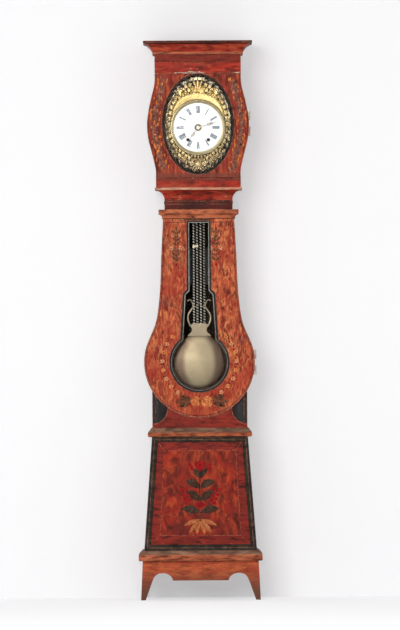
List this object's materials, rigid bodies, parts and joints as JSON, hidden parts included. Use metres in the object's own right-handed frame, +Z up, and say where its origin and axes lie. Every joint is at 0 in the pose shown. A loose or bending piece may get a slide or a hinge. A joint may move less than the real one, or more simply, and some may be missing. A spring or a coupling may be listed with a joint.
{
  "type": "longcase clock",
  "caption": "Tall painted longcase clock with bulged hood, oval glazed dial door, violin trunk with glazed pendulum window, lyre pendulum and tapered panelled base.",
  "frame": {"origin": "on the floor under the middle of the case's bounding box", "axes": "+X to the right seen from the front, +Y to the back, +Z up"},
  "size_m": [0.532, 0.33, 2.4],
  "materials": {
    "red_painted_wood": "worn red paint with streaked wood-grain effect",
    "orange_painted_wood": "worn orange-red paint with streaked wood-grain effect",
    "black_painted_wood": "worn black paint",
    "bare_pine": "bare aged softwood",
    "clear_glass": "clear, thin old glass",
    "brass": "aged polished brass",
    "iron": "dark forged iron",
    "steel": "grey worked steel",
    "white_enamel": "white glossy enamel",
    "bell_metal": "pale bell bronze",
    "gut_line": "twisted gut line"
  },
  "bodies": {
    "case": {"front_apron": "orange_painted_wood", "left_apron": "orange_painted_wood", "right_apron": "orange_painted_wood", "plinth_moulding": "orange_painted_wood", "base_front_panel": "red_painted_wood", "base_panel_frame": "black_painted_wood", "base_left_side": "red_painted_wood", "base_right_side": "red_painted_wood", "trunk_foot_moulding": "red_painted_wood", "trunk_left_side": "red_painted_wood", "trunk_right_side": "red_painted_wood", "trunk_spandrel_board": "black_painted_wood", "trunk_lower_rail": "red_painted_wood", "trunk_cap_moulding": "red_painted_wood", "hood_base_moulding": "red_painted_wood", "hood_left_side": "red_painted_wood", "hood_right_side": "red_painted_wood", "hood_bottom_rail": "red_painted_wood", "hood_frieze": "red_painted_wood", "cornice_moulding": "red_painted_wood", "hood_top_board": "bare_pine", "back_board": "bare_pine", "seat_board": "bare_pine", "trunk_door_lower_hinge_case_leaf": "iron", "trunk_door_upper_hinge_case_leaf": "iron", "hood_door_lower_hinge_case_leaf": "iron", "hood_door_upper_hinge_case_leaf": "iron", "movement_frame": "iron", "bell": "bell_metal", "dial": "white_enamel", "dial_surround": "brass", "going_line": "gut_line", "strike_line": "gut_line"},
    "trunk_door": {"trunk_door": "orange_painted_wood", "trunk_door_glass": "clear_glass", "trunk_door_lower_hinge_door_leaf": "iron", "trunk_door_upper_hinge_door_leaf": "iron", "trunk_door_lock": "iron"},
    "lock_bolt": {"trunk_lock_bolt": "brass"},
    "hood_door": {"hood_door": "red_painted_wood", "hood_door_glass": "clear_glass", "hood_door_lower_hinge_door_leaf": "iron", "hood_door_upper_hinge_door_leaf": "iron"},
    "minute_hand": {"minute_hand": "steel"},
    "motion_wheel": {"motion_wheel": "brass"},
    "hour_hand": {"hour_wheel": "brass", "hour_hand": "steel"},
    "pendulum": {"pendulum_grid": "steel", "pendulum_lyre": "brass"},
    "bob": {"pendulum_bob": "brass"},
    "rating_nut": {"rating_nut": "brass"},
    "anchor": {"anchor": "steel"},
    "going_weight": {"going_weight": "iron"},
    "going_drum": {"going_drum": "brass"},
    "going_second_wheel": {"going_second_wheel": "brass"},
    "escape_wheel": {"escape_wheel": "brass"},
    "strike_weight": {"strike_weight": "iron"},
    "strike_drum": {"strike_drum": "brass"},
    "strike_second_wheel": {"strike_second_wheel": "brass"},
    "hammer": {"hammer": "iron"}
  },
  "joints": [
    {"name": "trunk_door_hinge", "type": "hinge", "parent": "case", "child": "trunk_door", "pos_m": [0.242, -0.0655, 1.02], "axis": [0, 0, 1], "range_deg": [0, 100]},
    {"name": "lock_bolt_slide", "type": "slide", "parent": "trunk_door", "child": "lock_bolt", "axis": [-1, 0, 0], "range_m": [0, 0.008]},
    {"name": "hood_door_hinge", "type": "hinge", "parent": "case", "child": "hood_door", "pos_m": [0.223, -0.0965, 2.045], "axis": [0, 0, 1], "range_deg": [0, 100]},
    {"name": "minute_turn", "type": "hinge", "parent": "case", "child": "minute_hand", "pos_m": [0, -0.0975, 2.029], "axis": [0, 1, 0], "continuous": true},
    {"name": "motion_turn", "type": "hinge", "parent": "case", "child": "motion_wheel", "pos_m": [0, -0.064, 2.0074], "axis": [0, 1, 0], "continuous": true},
    {"name": "hour_turn", "type": "hinge", "parent": "case", "child": "hour_hand", "pos_m": [0, -0.0935, 2.029], "axis": [0, 1, 0], "continuous": true},
    {"name": "pendulum_swing", "type": "hinge", "parent": "case", "child": "pendulum", "pos_m": [0, -0.046, 2.07758], "axis": [0, 1, 0], "range_deg": [-3.5, 3.5]},
    {"name": "anchor_rock", "type": "hinge", "parent": "case", "child": "anchor", "pos_m": [0, -0.025, 2.07758], "axis": [0, 1, 0], "range_deg": [-3.5, 3.5]},
    {"name": "bob_slide", "type": "slide", "parent": "pendulum", "child": "bob", "axis": [0, 0, 1], "range_m": [-0.004, 0.004]},
    {"name": "nut_turn", "type": "hinge", "parent": "bob", "child": "rating_nut", "pos_m": [0, -0.046, 0.8995], "axis": [0, 0, 1], "continuous": true},
    {"name": "going_weight_fall", "type": "slide", "parent": "case", "child": "going_weight", "axis": [0, 0, 1], "range_m": [-1.05, 0.2], "deforming": ["going_line"]},
    {"name": "going_drum_turn", "type": "hinge", "parent": "case", "child": "going_drum", "pos_m": [0.044, -0.019, 1.976], "axis": [0, 1, 0], "continuous": true},
    {"name": "going_second_turn", "type": "hinge", "parent": "case", "child": "going_second_wheel", "pos_m": [0.033, -0.019, 2.02375], "axis": [0, 1, 0], "continuous": true},
    {"name": "escape_turn", "type": "hinge", "parent": "case", "child": "escape_wheel", "pos_m": [0, -0.025, 2.04358], "axis": [0, 1, 0], "continuous": true},
    {"name": "strike_weight_fall", "type": "slide", "parent": "case", "child": "strike_weight", "axis": [0, 0, 1], "range_m": [-1.05, 0.2], "deforming": ["strike_line"]},
    {"name": "strike_drum_turn", "type": "hinge", "parent": "case", "child": "strike_drum", "pos_m": [-0.044, -0.019, 1.976], "axis": [0, 1, 0], "continuous": true},
    {"name": "strike_second_turn", "type": "hinge", "parent": "case", "child": "strike_second_wheel", "pos_m": [-0.033, -0.019, 2.02375], "axis": [0, 1, 0], "continuous": true},
    {"name": "hammer_swing", "type": "hinge", "parent": "case", "child": "hammer", "pos_m": [0.062, 0.009, 2.089], "axis": [0, 1, 0], "range_deg": [-4.5, 12], "stiffness_Nm_per_rad": 0.3}
  ],
  "couplings": [
    {"joint": "motion_turn", "follows": "minute_turn", "ratio": -0.33333},
    {"joint": "hour_turn", "follows": "minute_turn", "ratio": 0.083333},
    {"joint": "anchor_rock", "follows": "pendulum_swing", "ratio": 1},
    {"joint": "nut_turn", "follows": "bob_slide", "rad_per_m": -3141.6},
    {"joint": "going_drum_turn", "follows": "going_weight_fall", "rad_per_m": -34.722},
    {"joint": "going_second_turn", "follows": "going_weight_fall", "rad_per_m": 208.33},
    {"joint": "escape_turn", "follows": "going_weight_fall", "rad_per_m": -937.5},
    {"joint": "strike_drum_turn", "follows": "strike_weight_fall", "rad_per_m": 34.722},
    {"joint": "strike_second_turn", "follows": "strike_weight_fall", "rad_per_m": -208.33}
  ]
}
